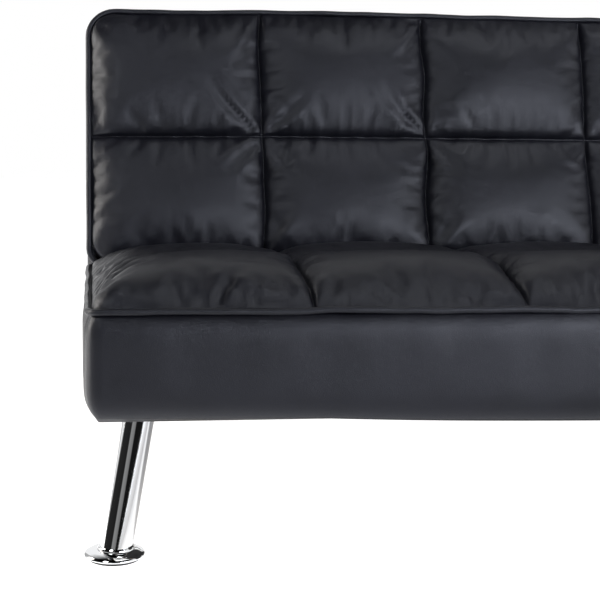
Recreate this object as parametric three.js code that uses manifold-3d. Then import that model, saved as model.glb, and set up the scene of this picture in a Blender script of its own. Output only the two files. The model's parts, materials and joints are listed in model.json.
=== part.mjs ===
// A click-clack futon sofa bed. A tufted seat slab and a tufted back slab are joined by two ratchet
// hinges, and the back lowers behind the seat to make a bed. Four splayed tube legs carry it, the
// rear pair on steel arms that run back under the lowered back.
// Millimetres, +Z up, +X along the width, +Y from the front to the back. Every height is measured
// from the floor and every depth from the seat's front face, until the last lines centre the sofa.

import * as THREE from 'three';
import { mergeVertices } from 'three/addons/utils/BufferGeometryUtils.js';
import Module from 'manifold-3d';

const wasm = await Module();
wasm.setup();

// Seat slab
const WIDTH = 1800;
const SEAT_DEPTH = 510;
const SEAT_UNDERSIDE = 200;
const SEAT_LINE = 352; // the plane of the seat's piping
const PANEL = 12; // padded border round a slab
const GAP = 0.3; // between pieces that touch
const CUSHION_CORNER = 32;

// Back slab, measured from the pivot along the slab and square to it
const LEAN = 17; // degrees from upright
const PIVOT_DROP = 30; // pivot below the seat line, and behind the back's front plane
const PIVOT_Y = 555;
const PIVOT_Z = SEAT_LINE - PIVOT_DROP;
const BACK_FOOT = 20; // lower edge of the back above the pivot
const BACK_LENGTH = 460;
const BACK_HEAD = BACK_FOOT + BACK_LENGTH;
const BACK_THICKNESS = 144;
const BACK_REAR = BACK_THICKNESS - PIVOT_DROP; // rear face behind the pivot

// Timber
const RAIL_TOP = 285;
const RAIL_THICKNESS = 28;
const END_RAIL = [830, 870.7]; // across the width, on each side
const BACK_END_RAIL = [850.2, 875.2];

// Hinge plates, each a range across the width on one side
const BRACKET_X = [871, 875];
const ARM_X = [875.5, 879.5];
const RATCHET_RADIUS = 40;
const RATCHET_END = 44; // where the ratchet plate meets the arm
const PAWL_DIRECTION = 50; // degrees below straight ahead, where the pawl meets the ratchet
const STOPS = [0, 35, 73]; // degrees of recline with a notch: sofa, lounger and bed
const PAWL_REACH = 35;
const PAWL_CLEARANCE = 2;

// Legs
const TUBE_RADIUS = 22.5;
const TUBE_WALL = 1.5;
const FOOT_RADIUS = 42.5;
const FOOT_TOP = 13;
const PAD_HEIGHT = 3;
const FOOT_INBOARD = 33;
const FRONT_FOOT_Y = 36;
const REAR_FOOT_Y = 905;
const SPLAY = 36 / 200; // sideways and lengthways, per millimetre of height
const REAR_SIDE_SPLAY = 0.06; // the rear legs are nearly upright sideways
const ARM_TOP = 198.7;
const ARM_HEIGHT = 24;
const ARM_WIDTH = 40;
const ARM_CENTRE = 836;

const leather = { color: 0x26272b, roughness: 0.45, metalness: 0 };
const foam = { color: 0xd9cf9f, roughness: 0.95, metalness: 0 };
const timber = { color: 0xc09a66, roughness: 0.8, metalness: 0 };
const chrome = { color: 0xd8dadd, roughness: 0.08, metalness: 1 };
const steel = { color: 0x9a9da1, roughness: 0.4, metalness: 1 };
const blackSteel = { color: 0x1b1c1e, roughness: 0.5, metalness: 0.6 };
const cloth = { color: 0x2a2a2c, roughness: 0.95, metalness: 0 };
const rubber = { color: 0x151515, roughness: 0.85, metalness: 0 };

function piece(group, name, geometry, finish) {
  const mesh = new THREE.Mesh(geometry, new THREE.MeshStandardMaterial(finish));
  mesh.name = name;
  group.add(mesh);
}

function solid(geometry) {
  const bare = geometry.clone();
  bare.deleteAttribute('normal');
  bare.deleteAttribute('uv');
  const merged = mergeVertices(bare, 1e-4);
  const mesh = new wasm.Mesh({
    numProp: 3,
    vertProperties: new Float32Array(merged.attributes.position.array),
    triVerts: new Uint32Array(merged.index.array),
  });
  return new wasm.Manifold(mesh);
}

function geometryOf(shape) {
  const mesh = shape.getMesh();
  const geometry = new THREE.BufferGeometry();
  geometry.setAttribute('position', new THREE.BufferAttribute(mesh.vertProperties, 3));
  geometry.setIndex(new THREE.BufferAttribute(mesh.triVerts, 1));
  return geometry;
}

function joined(...geometries) {
  return geometryOf(geometries.map(solid).reduce((whole, next) => whole.add(next)));
}

function cut(geometry, ...tools) {
  return geometryOf(tools.map(solid).reduce((whole, tool) => whole.subtract(tool), solid(geometry)));
}

function block([x0, x1], [y0, y1], [z0, z1]) {
  const box = new THREE.BoxGeometry(x1 - x0, y1 - y0, z1 - z0);
  return box.translate((x0 + x1) / 2, (y0 + y1) / 2, (z0 + z1) / 2);
}

// A range given for the right-hand side, on either side of the sofa.
function onSide(side, [inner, outer]) {
  return side > 0 ? [inner, outer] : [-outer, -inner];
}

// An outline drawn in depth and height, made into a plate across a range of the width.
function plate(outline, [x0, x1], curveSegments = 12) {
  const flat = new THREE.ExtrudeGeometry(outline, { depth: x1 - x0, bevelEnabled: false, curveSegments });
  const turn = new THREE.Matrix4().makeBasis(
    new THREE.Vector3(0, 1, 0),
    new THREE.Vector3(0, 0, 1),
    new THREE.Vector3(1, 0, 0),
  );
  return flat.applyMatrix4(turn).translate(x0, 0, 0);
}

function disc(radius, [y, z], range, sides = 24) {
  const outline = new THREE.Shape().absarc(y, z, radius, 0, 2 * Math.PI);
  return plate(outline, range, sides / 2); // a circle is drawn with two sides to each segment
}

function roundedRectangle([x0, x1], [y0, y1], radius) {
  const outline = new THREE.Shape();
  outline.absarc(x1 - radius, y0 + radius, radius, -Math.PI / 2, 0);
  outline.absarc(x1 - radius, y1 - radius, radius, 0, Math.PI / 2);
  outline.absarc(x0 + radius, y1 - radius, radius, Math.PI / 2, Math.PI);
  outline.absarc(x0 + radius, y0 + radius, radius, Math.PI, 1.5 * Math.PI);
  return outline;
}

// A cushion block with every edge rounded over by its bevel.
function cushion(outline, height, bevelThickness, bevelSize) {
  return new THREE.ExtrudeGeometry(outline, {
    depth: height - 2 * bevelThickness,
    bevelEnabled: true,
    bevelThickness,
    bevelSize,
    bevelOffset: -bevelSize,
    bevelSegments: 3,
    curveSegments: 4,
  }).translate(0, 0, bevelThickness);
}

// A closed run of cord through the corners of an outline, with no needless steps on the straights.
class CordLoop extends THREE.Curve {
  constructor(outline) {
    super();
    this.corners = outline.getPoints(3).map((p) => new THREE.Vector3(p.x, p.y, 0));
    this.corners = this.corners.filter((p, i, all) => p.distanceTo(all[(i + 1) % all.length]) > 0.01);
  }

  at(index) {
    return this.corners[(index + this.corners.length) % this.corners.length];
  }

  getPointAt(u, target = new THREE.Vector3()) {
    return target.copy(this.at(Math.round(u * this.corners.length)));
  }

  getTangentAt(u, target = new THREE.Vector3()) {
    const index = Math.round(u * this.corners.length);
    const before = this.at(index).clone().sub(this.at(index - 1)).normalize();
    const after = this.at(index + 1).clone().sub(this.at(index)).normalize();
    return target.copy(before.add(after).normalize());
  }
}

function piping([x0, x1], [y0, y1]) {
  const proud = 0.5;
  const radius = 3.7;
  const outline = roundedRectangle([x0 - proud, x1 + proud], [y0 - proud, y1 + proud], CUSHION_CORNER);
  const loop = new CordLoop(outline);
  return new THREE.TubeGeometry(loop, loop.corners.length, radius, 8, true);
}

function rectangularTube([y0, y1], [z0, z1], range, wall) {
  const outline = roundedRectangle([y0, y1], [z0, z1], 2 * wall);
  outline.holes.push(roundedRectangle([y0 + wall, y1 - wall], [z0 + wall, z1 - wall], wall));
  return plate(outline, range, 2);
}

function rodBetween(start, end, radius, segments) {
  const axis = end.clone().sub(start);
  const rod = new THREE.CylinderGeometry(radius, radius, axis.length(), segments);
  rod.applyQuaternion(new THREE.Quaternion().setFromUnitVectors(
    new THREE.Vector3(0, 1, 0),
    axis.clone().normalize(),
  ));
  const middle = start.clone().add(end).divideScalar(2);
  return rod.translate(middle.x, middle.y, middle.z);
}

// A profile of radius and height turned about an upright axis.
function turned(profile, x, y, segments) {
  const points = profile.map(([radius, height]) => new THREE.Vector2(radius, height));
  return new THREE.LatheGeometry(points, segments).rotateX(Math.PI / 2).translate(x, y, 0);
}

function seatFrame(seat) {
  const railZ = [SEAT_UNDERSIDE + GAP, RAIL_TOP];
  const frontY = [PANEL + GAP, PANEL + GAP + RAIL_THICKNESS];
  const rearY = [SEAT_DEPTH - PANEL - GAP - RAIL_THICKNESS, SEAT_DEPTH - PANEL - GAP];
  piece(seat, 'seat_front_rail', block([-END_RAIL[1], END_RAIL[1]], frontY, railZ), timber);
  piece(seat, 'seat_rear_rail', block([-END_RAIL[0] + GAP, END_RAIL[0] - GAP], rearY, railZ), timber);
  const crossY = [frontY[1] + GAP, rearY[0] - GAP];
  const crossZ = [railZ[0], 270];
  const crossWidth = 34;
  for (const [name, x] of [['left', -430], ['centre', 0], ['right', 430]]) {
    const range = [x - crossWidth / 2, x + crossWidth / 2];
    piece(seat, `seat_cross_rail_${name}`, block(range, crossY, crossZ), timber);
  }
  const cornerSize = 62;
  const cornerHeight = 40;
  for (const [name, side] of [['left', -1], ['right', 1]]) {
    const endY = [frontY[1] + GAP, rearY[1]];
    piece(seat, `seat_${name}_rail`, block(onSide(side, END_RAIL), endY, railZ), timber);
    const cornerX = onSide(side, [END_RAIL[0] - GAP - cornerSize, END_RAIL[0] - GAP]);
    const cornerY = [frontY[1] + GAP, frontY[1] + GAP + cornerSize];
    const corner = block(cornerX, cornerY, [railZ[0], railZ[0] + cornerHeight]);
    piece(seat, `corner_block_${name}`, corner, timber);
  }
}

// A sinuous spring's centre line, running from the front rail to the rear rail.
class SpringLine extends THREE.Curve {
  constructor(x, height, [y0, y1]) {
    super();
    Object.assign(this, { x, height, y0, y1 });
  }

  getPoint(t, target = new THREE.Vector3()) {
    const swing = 22;
    const waves = 8;
    const x = this.x + swing * Math.sin(2 * Math.PI * waves * t);
    return target.set(x, this.y0 + (this.y1 - this.y0) * t, this.height);
  }
}

function seatSprings(seat) {
  const wire = 1.9;
  const height = RAIL_TOP + wire + 2 * GAP;
  const run = [20, 490];
  const section = new THREE.Shape().absarc(0, 0, wire, 0, 2 * Math.PI);
  const wires = [-715, -430, -145, 145, 430, 715].map((x) => new THREE.ExtrudeGeometry(section, {
    steps: 40,
    extrudePath: new SpringLine(x, height, run),
    bevelEnabled: false,
    curveSegments: 3,
  }));
  const tieEnd = 745;
  const ties = [150, 255, 360].map((y) => rodBetween(
    new THREE.Vector3(-tieEnd, y, height),
    new THREE.Vector3(tieEnd, y, height),
    1.5,
    6,
  ));
  piece(seat, 'seat_spring_deck', joined(...wires, ...ties), steel);
}

function seatUpholstery(seat) {
  const halfWidth = WIDTH / 2;
  const panelZ = [SEAT_UNDERSIDE, SEAT_LINE - 6 - GAP];
  const hingePocket = 866; // the rear panel stops here, to let the hinge plates out
  const foamZ = [290, panelZ[1]];
  const foamY = [PANEL + 4, SEAT_DEPTH - PANEL - 4];
  piece(seat, 'seat_foam', block([-hingePocket, hingePocket], foamY, foamZ), foam);
  piece(seat, 'seat_front_panel', block([-halfWidth, halfWidth], [0, PANEL], panelZ), leather);
  const rearY = [SEAT_DEPTH - PANEL, SEAT_DEPTH];
  piece(seat, 'seat_rear_panel', block([-hingePocket, hingePocket], rearY, panelZ), leather);
  for (const [name, side] of [['left', -1], ['right', 1]]) {
    const range = onSide(side, [halfWidth - PANEL, halfWidth]);
    piece(seat, `seat_${name}_panel`, block(range, [PANEL + GAP, SEAT_DEPTH], panelZ), leather);
  }
  const outline = roundedRectangle([-halfWidth, halfWidth], [0, SEAT_DEPTH], CUSHION_CORNER);
  const cushionBase = SEAT_LINE - 5;
  const top = cushion(outline, 38, 18, 28).translate(0, 0, cushionBase);
  piece(seat, 'seat_cushion', top, leather);
  const cord = piping([-halfWidth, halfWidth], [0, SEAT_DEPTH]).translate(0, 0, SEAT_LINE - 1.5);
  piece(seat, 'seat_piping', cord, leather);
  const under = block([-860, 860], [PANEL + 4, 494], [ARM_TOP + GAP, SEAT_UNDERSIDE]);
  piece(seat, 'seat_dust_cloth', under, cloth);
}

// A tube leg leaning out towards its foot, with its weld ring and its mounting plate.
// inward is +1 where the leg's top lies behind its foot and -1 where it lies ahead of it.
function leg(footX, footY, leanX, leanY, plateTop) {
  const axisAt = (z) => new THREE.Vector3(footX + leanX * z, footY + leanY * z, z);
  const plateHeight = 4;
  const plateHalf = 38;
  const overrun = 30;
  const outer = rodBetween(axisAt(-overrun), axisAt(plateTop + overrun), TUBE_RADIUS, 28);
  const inner = rodBetween(axisAt(-2 * overrun), axisAt(plateTop + 2 * overrun), TUBE_RADIUS - TUBE_WALL, 28);
  const base = FOOT_TOP + GAP;
  const reach = [-1, 1].map((s) => s * 2 * WIDTH);
  const height = block(reach, reach, [base, plateTop - plateHeight / 2]);
  const hollow = solid(outer).subtract(solid(inner)).intersect(solid(height));
  const top = axisAt(plateTop);
  const mount = block(
    [top.x - plateHalf, top.x + plateHalf],
    [top.y - plateHalf, top.y + plateHalf],
    [plateTop - plateHeight, plateTop],
  );
  const ringAt = axisAt(base);
  const ring = turned([[20.5, base], [26, base], [26, base + 2], [24.5, base + 4], [20.5, base + 4], [20.5, base]],
    ringAt.x, ringAt.y, 28);
  return geometryOf(hollow.add(solid(mount)).add(solid(ring)));
}

function legs(seat) {
  const armUnderside = ARM_TOP - ARM_HEIGHT;
  const footProfile = [
    [0, PAD_HEIGHT + GAP], [38.5, PAD_HEIGHT + GAP], [FOOT_RADIUS - 0.8, 4.6], [FOOT_RADIUS, 6.5],
    [FOOT_RADIUS - 0.8, 8.6], [39, 10.6], [32, FOOT_TOP], [0, FOOT_TOP],
  ];
  const padProfile = [[0, 0], [36, 0], [36, PAD_HEIGHT], [0, PAD_HEIGHT]];
  const rearTop = armUnderside - GAP;
  const rearFootX = ARM_CENTRE + REAR_SIDE_SPLAY * rearTop;
  const places = [
    ['front', WIDTH / 2 - FOOT_INBOARD, FRONT_FOOT_Y, SPLAY, SPLAY, ARM_TOP],
    ['rear', rearFootX, REAR_FOOT_Y, REAR_SIDE_SPLAY, -SPLAY, rearTop],
  ];
  for (const [end, outboard, footY, sideSplay, leanY, plateTop] of places) {
    for (const [name, side] of [['left', -1], ['right', 1]]) {
      const footX = side * outboard;
      piece(seat, `leg_${end}_${name}`, leg(footX, footY, -side * sideSplay, leanY, plateTop), chrome);
      piece(seat, `foot_disc_${end}_${name}`, turned(footProfile, footX, footY, 32), chrome);
      piece(seat, `foot_pad_${end}_${name}`, turned(padProfile, footX, footY, 24), rubber);
    }
  }
  const centreY = 255;
  const column = turned([[0, 0], [22, 0], [22, 8], [16, 12], [16, 195], [0, 195]], 0, centreY, 24);
  const cap = block([-36, 36], [centreY - 36, centreY + 36], [194, ARM_TOP]);
  piece(seat, 'centre_leg', joined(column, cap), blackSteel);
}

function baseArms(seat) {
  const z = [ARM_TOP - ARM_HEIGHT, ARM_TOP];
  const armY = [250, 915];
  const half = ARM_WIDTH / 2;
  const wall = 2;
  for (const [name, side] of [['left', -1], ['right', 1]]) {
    const tube = rectangularTube([-half, half], z, armY, wall);
    tube.rotateZ(Math.PI / 2).translate(side * ARM_CENTRE, 0, 0);
    piece(seat, `base_arm_${name}`, tube, blackSteel);
    const restY = 760;
    const rest = turned([[0, ARM_TOP + GAP], [12, ARM_TOP + GAP], [12, 206], [10.5, 207.3], [0, 207.3]],
      side * ARM_CENTRE, restY, 24);
    piece(seat, `back_rest_pad_${name}`, rest, rubber);
  }
  const inner = ARM_CENTRE - half - GAP;
  const cross = rectangularTube([625, 655], [z[0] + 2, z[1] - 2], [-inner, inner], wall);
  piece(seat, 'base_cross_tube', cross, blackSteel);
}

function directionFromPivot(degreesBelowAhead, distance) {
  const angle = THREE.MathUtils.degToRad(degreesBelowAhead);
  return [PIVOT_Y - distance * Math.cos(angle), PIVOT_Z - distance * Math.sin(angle)];
}

// The pawl turns on a stud so placed that its tooth moves straight towards the pivot.
function pawlStud() {
  const [tipY, tipZ] = directionFromPivot(PAWL_DIRECTION, RATCHET_RADIUS + PAWL_CLEARANCE);
  const angle = THREE.MathUtils.degToRad(PAWL_DIRECTION);
  return [tipY - PAWL_REACH * Math.sin(angle), tipZ + PAWL_REACH * Math.cos(angle)];
}

function hingeBracket(seat, name, side) {
  const outline = new THREE.Shape([
    [365, 230], [508, 230], [568, 312], [555, 338.5], [500, 325], [468, 276], [365, 276],
  ].map(([y, z]) => new THREE.Vector2(y, z)));
  const range = onSide(side, BRACKET_X);
  const stud = pawlStud();
  const hub = disc(17, [PIVOT_Y, PIVOT_Z], range);
  const boss = disc(10, stud, range);
  const studRange = onSide(side, [BRACKET_X[1] - 1, ARM_X[1] + 1]);
  const rivetRange = onSide(side, [BRACKET_X[1] - 1, BRACKET_X[1] + 2.5]);
  const rivets = [388, 426, 464].map((y) => disc(6, [y, 253], rivetRange, 12));
  const whole = joined(plate(outline, range), hub, boss, disc(3.5, stud, studRange, 20), ...rivets);
  piece(seat, `hinge_bracket_${name}`, cut(whole, disc(5.3, [PIVOT_Y, PIVOT_Z], onSide(side, [860, 890]))), steel);
}

function pivotBolt(seat, name, side) {
  const centre = [PIVOT_Y, PIVOT_Z];
  const head = disc(9, centre, onSide(side, [ARM_X[1] + GAP, ARM_X[1] + 5]), 6);
  const nut = disc(9, centre, onSide(side, [BRACKET_X[0] - 6.5, BRACKET_X[0] - GAP]), 6);
  const shank = disc(5, centre, onSide(side, [BRACKET_X[0] - 8, ARM_X[1] + 1]));
  piece(seat, `pivot_bolt_${name}`, joined(shank, head, nut), steel);
}

function pawl(group, name, side) {
  const stud = pawlStud();
  const angle = THREE.MathUtils.degToRad(PAWL_DIRECTION);
  const along = new THREE.Vector2(Math.sin(angle), -Math.cos(angle));
  const inward = new THREE.Vector2(Math.cos(angle), Math.sin(angle));
  const outline = new THREE.Shape([
    [0, 6.5], [20, -3], [31.5, -5], [32.7, 0], [37.3, 0], [38.5, -11], [20, -11], [0, -6.5],
  ].map(([a, b]) => new THREE.Vector2(
    stud[0] + a * along.x + b * inward.x,
    stud[1] + a * along.y + b * inward.y,
  )));
  const range = onSide(side, ARM_X);
  const lever = joined(plate(outline, range), disc(7, stud, range, 20));
  piece(group, `pawl_${name}`, cut(lever, disc(4.1, stud, onSide(side, [860, 890]), 20)), steel);
}

// The back's own half of the hinge, drawn from the pivot: a notched ratchet plate, and an L-shaped
// arm butted to it. The first notch has no front wall, so the back can be pulled forward out of it.
function ratchet(back, name, side) {
  const range = onSide(side, ARM_X);
  const firstTooth = 180 + LEAN + PAWL_DIRECTION;
  const sector = new THREE.Shape();
  sector.moveTo(0, 0);
  sector.absarc(0, 0, RATCHET_RADIUS, THREE.MathUtils.degToRad(firstTooth),
    THREE.MathUtils.degToRad(firstTooth + STOPS[2] + 16));
  sector.lineTo(0, 0);
  const tongue = block(range, [0, RATCHET_END], [-14, 14]);
  const through = onSide(side, [860, 890]);
  const notches = STOPS.map((stop) => {
    const notch = block(through, [RATCHET_RADIUS - 6, RATCHET_RADIUS + 4], [-4, 4]);
    return notch.rotateX(THREE.MathUtils.degToRad(firstTooth + stop));
  });
  const whole = joined(disc(17, [0, 0], range), plate(sector, range, 10), tongue);
  piece(back, `ratchet_${name}`, cut(whole, disc(5.6, [0, 0], through), ...notches), steel);
}

function hingeArm(back, name, side) {
  const start = RATCHET_END + GAP;
  const outline = new THREE.Shape([
    [start, -14], [89, -14], [89, 250], [61, 250], [61, 14], [start, 14],
  ].map(([y, z]) => new THREE.Vector2(y, z)));
  const rivetRange = onSide(side, [ARM_X[1] - 1, ARM_X[1] + 2.5]);
  const rivets = [90, 160, 230].map((z) => disc(6, [75, z], rivetRange, 12));
  piece(back, `hinge_arm_${name}`, joined(plate(outline, onSide(side, ARM_X)), ...rivets), steel);
}

function backFrame(back) {
  const railY = [50, BACK_REAR - 3];
  const headZ = [BACK_HEAD - 34, BACK_HEAD - 11];
  const footZ = [BACK_FOOT + 5, BACK_FOOT + 30];
  const innerEdge = BACK_END_RAIL[0] - GAP;
  piece(back, 'back_top_rail', block([-BACK_END_RAIL[1], BACK_END_RAIL[1]], railY, headZ), timber);
  piece(back, 'back_bottom_rail', block([-innerEdge, innerEdge], railY, footZ), timber);
  piece(back, 'back_centre_rail', block([-17, 17], railY, [footZ[1] + GAP, headZ[0] - GAP]), timber);
  for (const [name, side] of [['left', -1], ['right', 1]]) {
    const end = block(onSide(side, BACK_END_RAIL), railY, [footZ[0], headZ[0] - GAP]);
    piece(back, `back_${name}_rail`, end, timber);
  }
  const webbingY = [railY[0] - GAP - 2, railY[0] - GAP];
  const strapHalf = 25;
  const across = [130, 230, 330, 410].map((z) => block([-874, 874], webbingY, [z - strapHalf, z + strapHalf]));
  const upright = [-640, -380, -120, 120, 380, 640]
    .map((x) => block([x - strapHalf, x + strapHalf], webbingY, [footZ[0], headZ[1]]));
  piece(back, 'back_webbing', joined(...across, ...upright), cloth);
}

function backUpholstery(back) {
  const halfWidth = WIDTH / 2;
  const front = -(PIVOT_DROP - 6); // front edge of the border panels
  const panelHead = [BACK_HEAD - 10, BACK_HEAD];
  const sideZ = [BACK_FOOT, panelHead[0] - GAP];
  const rear = [BACK_REAR - 2.7, BACK_REAR];
  const borderY = [front, rear[0] - GAP];
  const foamBlock = block([-halfWidth + PANEL + 1, halfWidth - PANEL - 1], [front, 46],
    [BACK_FOOT + 4, sideZ[1]]);
  piece(back, 'back_foam', foamBlock, foam);
  piece(back, 'back_top_panel', block([-halfWidth, halfWidth], [front, BACK_REAR], panelHead), leather);
  piece(back, 'back_bottom_panel', block([-866, 866], borderY, [BACK_FOOT, BACK_FOOT + 3.7]), leather);
  piece(back, 'back_rear_panel', block([-halfWidth, halfWidth], rear, sideZ), leather);
  for (const [name, side] of [['left', -1], ['right', 1]]) {
    const range = onSide(side, [halfWidth - PANEL, halfWidth]);
    piece(back, `back_${name}_panel`, block(range, borderY, sideZ), leather);
  }
  const faceForward = new THREE.Matrix4().makeBasis(
    new THREE.Vector3(1, 0, 0),
    new THREE.Vector3(0, 0, 1),
    new THREE.Vector3(0, -1, 0),
  );
  const outline = roundedRectangle([-halfWidth, halfWidth], [BACK_FOOT, BACK_HEAD], CUSHION_CORNER);
  const face = cushion(outline, 28, 13, 24).applyMatrix4(faceForward).translate(0, front - 1, 0);
  piece(back, 'back_cushion', face, leather);
  const cord = piping([-halfWidth, halfWidth], [BACK_FOOT, BACK_HEAD]).applyMatrix4(faceForward);
  piece(back, 'back_piping', cord.translate(0, 1.5 - PIVOT_DROP, 0), leather);
}

const sofa = new THREE.Group();
const seat = new THREE.Group();
const back = new THREE.Group();
sofa.add(seat, back);
seatFrame(seat);
seatSprings(seat);
seatUpholstery(seat);
legs(seat);
baseArms(seat);
backFrame(back);
backUpholstery(back);
for (const [name, side] of [['left', -1], ['right', 1]]) {
  hingeBracket(seat, name, side);
  pivotBolt(seat, name, side);
  pawl(seat, name, side);
  ratchet(back, name, side);
  hingeArm(back, name, side);
}
back.position.set(0, PIVOT_Y, PIVOT_Z);
back.rotation.x = -THREE.MathUtils.degToRad(LEAN);
sofa.position.y = -(FRONT_FOOT_Y + REAR_FOOT_Y) / 2;

export default sofa;
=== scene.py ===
import json
import math

import bmesh
import bpy
import numpy as np
from mathutils import Matrix, Vector, noise

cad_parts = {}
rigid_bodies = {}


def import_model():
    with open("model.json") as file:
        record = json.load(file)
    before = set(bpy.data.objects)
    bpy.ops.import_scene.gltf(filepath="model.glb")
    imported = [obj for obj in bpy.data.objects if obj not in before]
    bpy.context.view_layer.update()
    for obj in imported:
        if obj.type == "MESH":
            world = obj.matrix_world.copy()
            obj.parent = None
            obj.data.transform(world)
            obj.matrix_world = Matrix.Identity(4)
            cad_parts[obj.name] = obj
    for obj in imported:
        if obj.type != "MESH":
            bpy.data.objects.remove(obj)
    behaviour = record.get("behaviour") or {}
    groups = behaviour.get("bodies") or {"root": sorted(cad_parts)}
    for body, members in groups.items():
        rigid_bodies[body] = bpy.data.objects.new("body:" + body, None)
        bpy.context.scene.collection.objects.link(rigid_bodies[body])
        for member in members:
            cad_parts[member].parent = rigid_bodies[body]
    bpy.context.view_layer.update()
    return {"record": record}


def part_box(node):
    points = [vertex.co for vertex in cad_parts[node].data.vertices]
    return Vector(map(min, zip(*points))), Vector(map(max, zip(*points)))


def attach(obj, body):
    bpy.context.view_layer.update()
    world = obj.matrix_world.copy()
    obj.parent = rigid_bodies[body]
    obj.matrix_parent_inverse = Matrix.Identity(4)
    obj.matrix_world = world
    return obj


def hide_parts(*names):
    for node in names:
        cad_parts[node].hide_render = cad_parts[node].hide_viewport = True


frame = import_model()

scene = bpy.context.scene
lean = math.radians(17)
columns = 6  # tufted columns across the seat and the back
rows = 2

reclineJoint = next(j for j in frame["record"]["behaviour"]["joints"] if j["name"] == "back_recline")
pivot = Vector(reclineJoint["pos_m"])
frontLow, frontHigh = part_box("seat_front_panel")
rearLow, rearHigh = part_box("seat_rear_panel")
pipingLow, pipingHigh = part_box("seat_piping")

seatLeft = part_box("seat_left_panel")[0].x
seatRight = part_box("seat_right_panel")[1].x
seatFront = frontLow.y
seatRear = rearHigh.y
seatBottom = frontLow.z
seatLine = (pipingLow.z + pipingHigh.z) / 2

# the back slab is worked out flat, x across, y up the slab from the pivot and z out of its front
upSlab = Vector((0, math.sin(lean), math.cos(lean)))
outOfSlab = Vector((0, -math.cos(lean), math.sin(lean)))
slab = Matrix((
    (1, 0, 0, pivot.x),
    (0, upSlab.y, outOfSlab.y, pivot.y),
    (0, upSlab.z, outOfSlab.z, pivot.z),
    (0, 0, 0, 1),
))
slabBottom = 0.020
slabTop = 0.480
slabFront = 0.0285  # plane of the back's front piping
slabRear = -0.114
droopSpec = {"depth": 0.006, "from": 0.50, "reach": 0.40}  # from this far out, over this width


def meshObject(name, vertices, faces, material, smooth=True):
    mesh = bpy.data.meshes.new(name)
    mesh.from_pydata([tuple(v) for v in vertices], [], faces)
    mesh.validate()
    mesh.update()
    obj = bpy.data.objects.new(name, mesh)
    scene.collection.objects.link(obj)
    if material:
        mesh.materials.append(material)
    if smooth:
        mesh.shade_smooth()
    return obj


def gridFaces(across, along):
    # quads over a grid stored row by row, across points in each row
    faces = []
    for j in range(along - 1):
        for i in range(across - 1):
            near = j * across + i
            far = near + across
            faces.append((near, near + 1, far + 1, far))
    return faces


def applyModifiers(obj):
    graph = bpy.context.evaluated_depsgraph_get()
    mesh = bpy.data.meshes.new_from_object(obj.evaluated_get(graph))
    obj.modifiers.clear()
    old = obj.data
    obj.data = mesh
    bpy.data.meshes.remove(old)


def softNoise(x, y, z, size):
    return noise.noise(Vector((x / size, y / size, z / size)))


def newMaterial(name, slotName, colour, roughness, metallic=0.0):
    material = bpy.data.materials.new(name)
    material.use_nodes = True
    shader = material.node_tree.nodes["Principled BSDF"]
    shader.inputs["Base Color"].default_value = (*colour, 1)
    shader.inputs["Roughness"].default_value = roughness
    shader.inputs["Metallic"].default_value = metallic
    material["slotName"] = slotName
    return material, material.node_tree, shader


def addGroup(tree, group, **values):
    node = tree.nodes.new("ShaderNodeGroup")
    node.node_tree = group
    for key, value in values.items():
        node.inputs[key].default_value = value
    tree.links.new(objectPlace(tree), node.inputs["Place"])
    return node


def objectPlace(tree):
    found = tree.nodes.get("Texture Coordinate")
    if not found:
        found = tree.nodes.new("ShaderNodeTexCoord")
    return found.outputs["Object"]


def groupWith(name, sockets):
    # a shader node group with its named inputs and outputs
    group = bpy.data.node_groups.new(name, "ShaderNodeTree")
    for label, direction, kind, value in sockets:
        socket = group.interface.new_socket(label, in_out=direction, socket_type=kind)
        if value is not None:
            socket.default_value = value
    return group, group.nodes.new("NodeGroupInput"), group.nodes.new("NodeGroupOutput")


def noiseNode(tree, place, scale, detail=3.0, roughness=0.5):
    node = tree.nodes.new("ShaderNodeTexNoise")
    node.inputs["Scale"].default_value = scale
    node.inputs["Detail"].default_value = detail
    node.inputs["Roughness"].default_value = roughness
    tree.links.new(place, node.inputs["Vector"])
    return node


def rangeNode(tree, value, low, high, toLow=0.0, toHigh=1.0):
    node = tree.nodes.new("ShaderNodeMapRange")
    node.inputs["From Min"].default_value = low
    node.inputs["From Max"].default_value = high
    node.inputs["To Min"].default_value = toLow
    node.inputs["To Max"].default_value = toHigh
    tree.links.new(value, node.inputs["Value"])
    return node.outputs["Result"]


def mathNode(tree, operation, first, second):
    node = tree.nodes.new("ShaderNodeMath")
    node.operation = operation
    for socket, value in zip(node.inputs, (first, second)):
        if isinstance(value, (int, float)):
            socket.default_value = value
        else:
            tree.links.new(value, socket)
    return node.outputs["Value"]


def bumpNode(tree, height, strength, distance):
    node = tree.nodes.new("ShaderNodeBump")
    node.inputs["Strength"].default_value = strength
    node.inputs["Distance"].default_value = distance
    tree.links.new(height, node.inputs["Height"])
    return node.outputs["Normal"]


def colourMix(tree, factor, first, second):
    node = tree.nodes.new("ShaderNodeMix")
    node.data_type = "RGBA"
    tree.links.new(factor, node.inputs[0])
    for socket, value in zip((node.inputs[6], node.inputs[7]), (first, second)):
        if isinstance(value, tuple):
            socket.default_value = (*value, 1)
        else:
            tree.links.new(value, socket)
    return node.outputs[2]


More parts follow.
